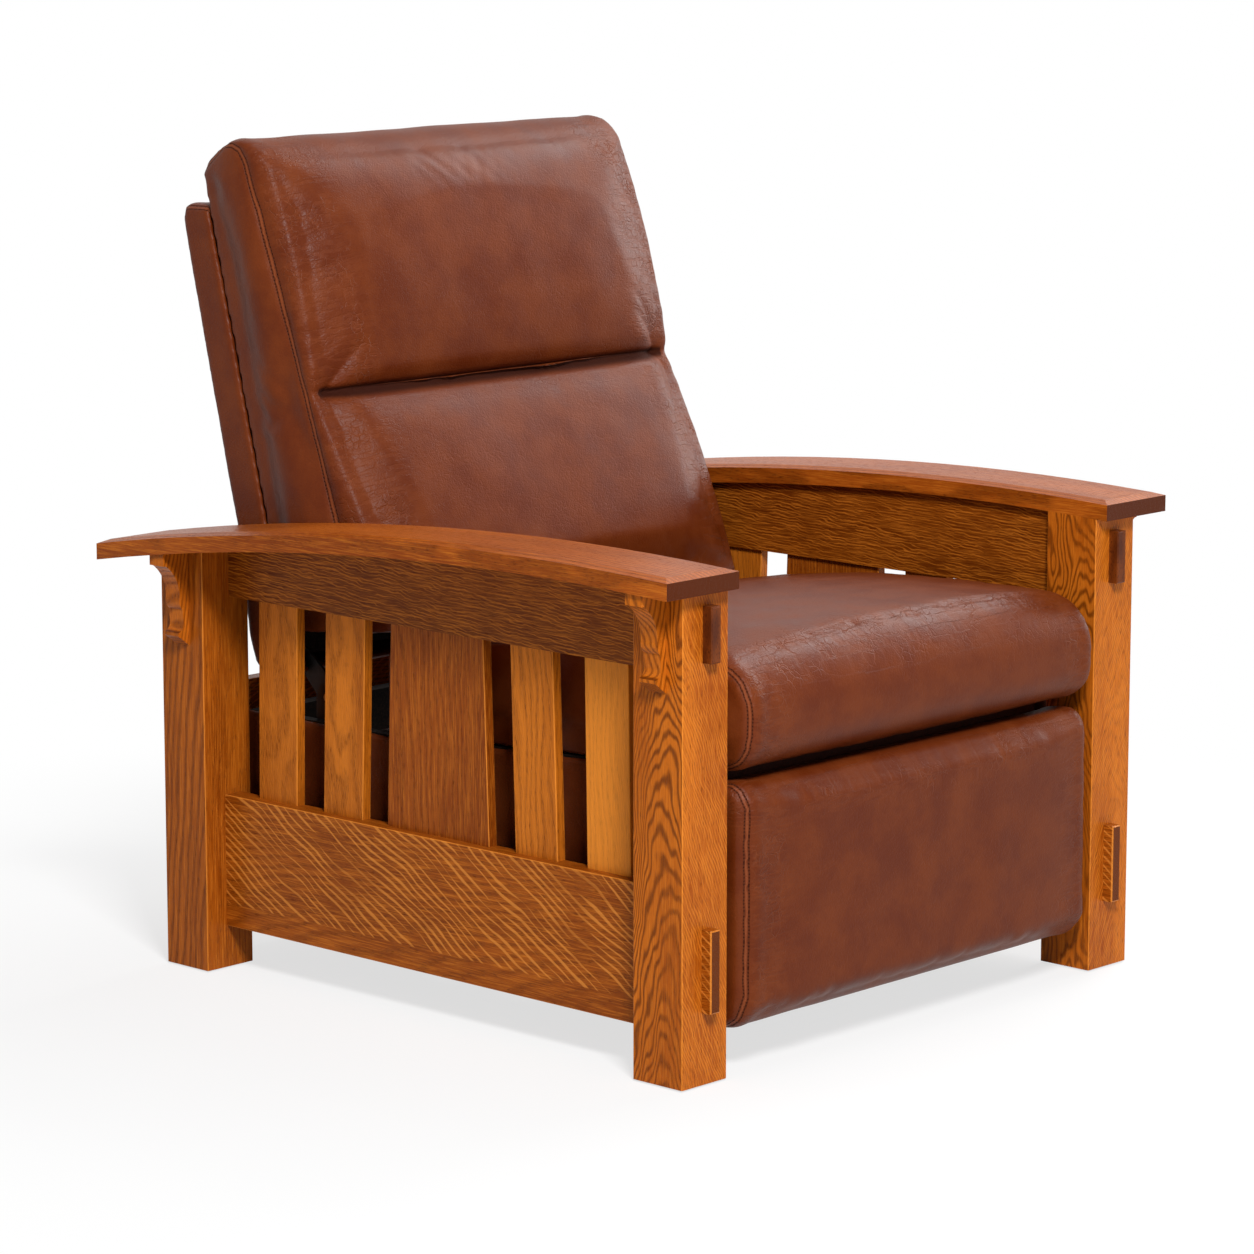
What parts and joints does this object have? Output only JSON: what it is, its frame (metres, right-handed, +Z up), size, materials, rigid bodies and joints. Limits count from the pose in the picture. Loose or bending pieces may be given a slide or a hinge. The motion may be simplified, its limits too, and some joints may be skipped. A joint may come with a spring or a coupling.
{
  "type": "reclining armchair",
  "caption": "Mission reclining armchair: bowed oak arms on corbels, slatted sides with through tenons, leather seat, back and lift-up footrest.",
  "frame": {"origin": "on the floor under the middle of the arms' length and of the chair's width", "axes": "+Z up, -Y the way the sitter faces, +X to the sitter's left"},
  "size_m": [0.918, 0.9724, 1.031],
  "materials": {
    "oak": "satin",
    "oak_end_grain": "satin",
    "leather": "satin",
    "frame_timber": "matte",
    "black_steel": "satin",
    "zinc_steel": "satin",
    "black_nylon": "matte",
    "felt": "matte"
  },
  "bodies": {
    "wood_frame": {"front_leg_left": "oak", "front_leg_right": "oak", "rear_leg_left": "oak", "rear_leg_right": "oak", "arm_left": "oak", "arm_right": "oak", "upper_rail_left": "oak", "upper_rail_right": "oak", "lower_rail_left": "oak", "lower_rail_right": "oak", "middle_slat_left": "oak", "middle_slat_right": "oak", "narrow_slats_left": "oak", "narrow_slats_right": "oak", "front_corbels": "oak", "rear_corbels": "oak", "rear_rail": "oak", "stretcher": "oak", "upper_tenon_left": "oak_end_grain", "upper_tenon_right": "oak_end_grain", "leg_glides": "black_nylon", "arm_dowels": "frame_timber", "seat_tracks": "black_steel", "track_screws": "zinc_steel"},
    "seat_unit": {"seat_side_boards": "frame_timber", "seat_side_covers": "leather", "seat_side_plates": "black_steel", "glide_blocks": "black_nylon", "plate_bolts": "zinc_steel", "front_seat_rail": "frame_timber", "rear_seat_rail": "frame_timber", "nose_rail": "leather", "rear_seat_board": "frame_timber", "tie_tubes": "black_steel", "seat_springs": "zinc_steel", "spring_clips": "zinc_steel", "deck_pad": "felt", "seat_cushion": "leather", "lift_pivots": "zinc_steel", "back_bolts": "zinc_steel", "back_bushes": "black_nylon"},
    "back_unit": {"back_cushion": "leather", "outer_back": "leather", "back_stiles": "frame_timber", "back_rails": "frame_timber", "back_webs": "felt", "back_brackets": "black_steel", "bracket_screws": "zinc_steel"},
    "rear_lift": {"rear_lift_links": "black_steel", "torque_tube": "black_steel", "rear_lift_rivets": "zinc_steel"},
    "front_lift": {"front_lift_links": "black_steel", "front_lift_rivets": "zinc_steel"},
    "footrest": {"footrest_links": "black_steel", "footrest_angles": "black_steel", "footboard": "frame_timber", "footrest_pad": "leather"},
    "stays": {"stay_links": "black_steel", "stay_rivets": "zinc_steel"}
  },
  "joints": [
    {"name": "seat_slide", "type": "slide", "parent": "wood_frame", "child": "seat_unit", "axis": [0, -1, 0], "range_m": [0, 0.08]},
    {"name": "footrest_lift", "type": "hinge", "parent": "seat_unit", "child": "rear_lift", "pos_m": [0, -0.357, 0.3], "axis": [-1, 0, 0], "range_deg": [0, 78]},
    {"name": "front_lift_swing", "type": "hinge", "parent": "rear_lift", "child": "front_lift", "pos_m": [0, -0.3685, 0.1906], "axis": [1, 0, 0], "range_deg": [0, 156]},
    {"name": "footrest_swing", "type": "hinge", "parent": "front_lift", "child": "footrest", "pos_m": [0, -0.38, 0.3], "axis": [-1, 0, 0], "range_deg": [0, 156]},
    {"name": "stay_swing", "type": "hinge", "parent": "rear_lift", "child": "stays", "pos_m": [0, -0.38, 0.0812], "axis": [1, 0, 0], "range_deg": [0, 156]},
    {"name": "back_recline", "type": "hinge", "parent": "seat_unit", "child": "back_unit", "pos_m": [0, 0.235, 0.348], "axis": [-1, 0, 0], "range_deg": [0, 27]}
  ],
  "couplings": [
    {"joint": "seat_slide", "follows": "footrest_lift", "m_per_rad": 0.0587},
    {"joint": "front_lift_swing", "follows": "footrest_lift", "ratio": 2},
    {"joint": "footrest_swing", "follows": "footrest_lift", "ratio": 2},
    {"joint": "stay_swing", "follows": "footrest_lift", "ratio": 2}
  ]
}
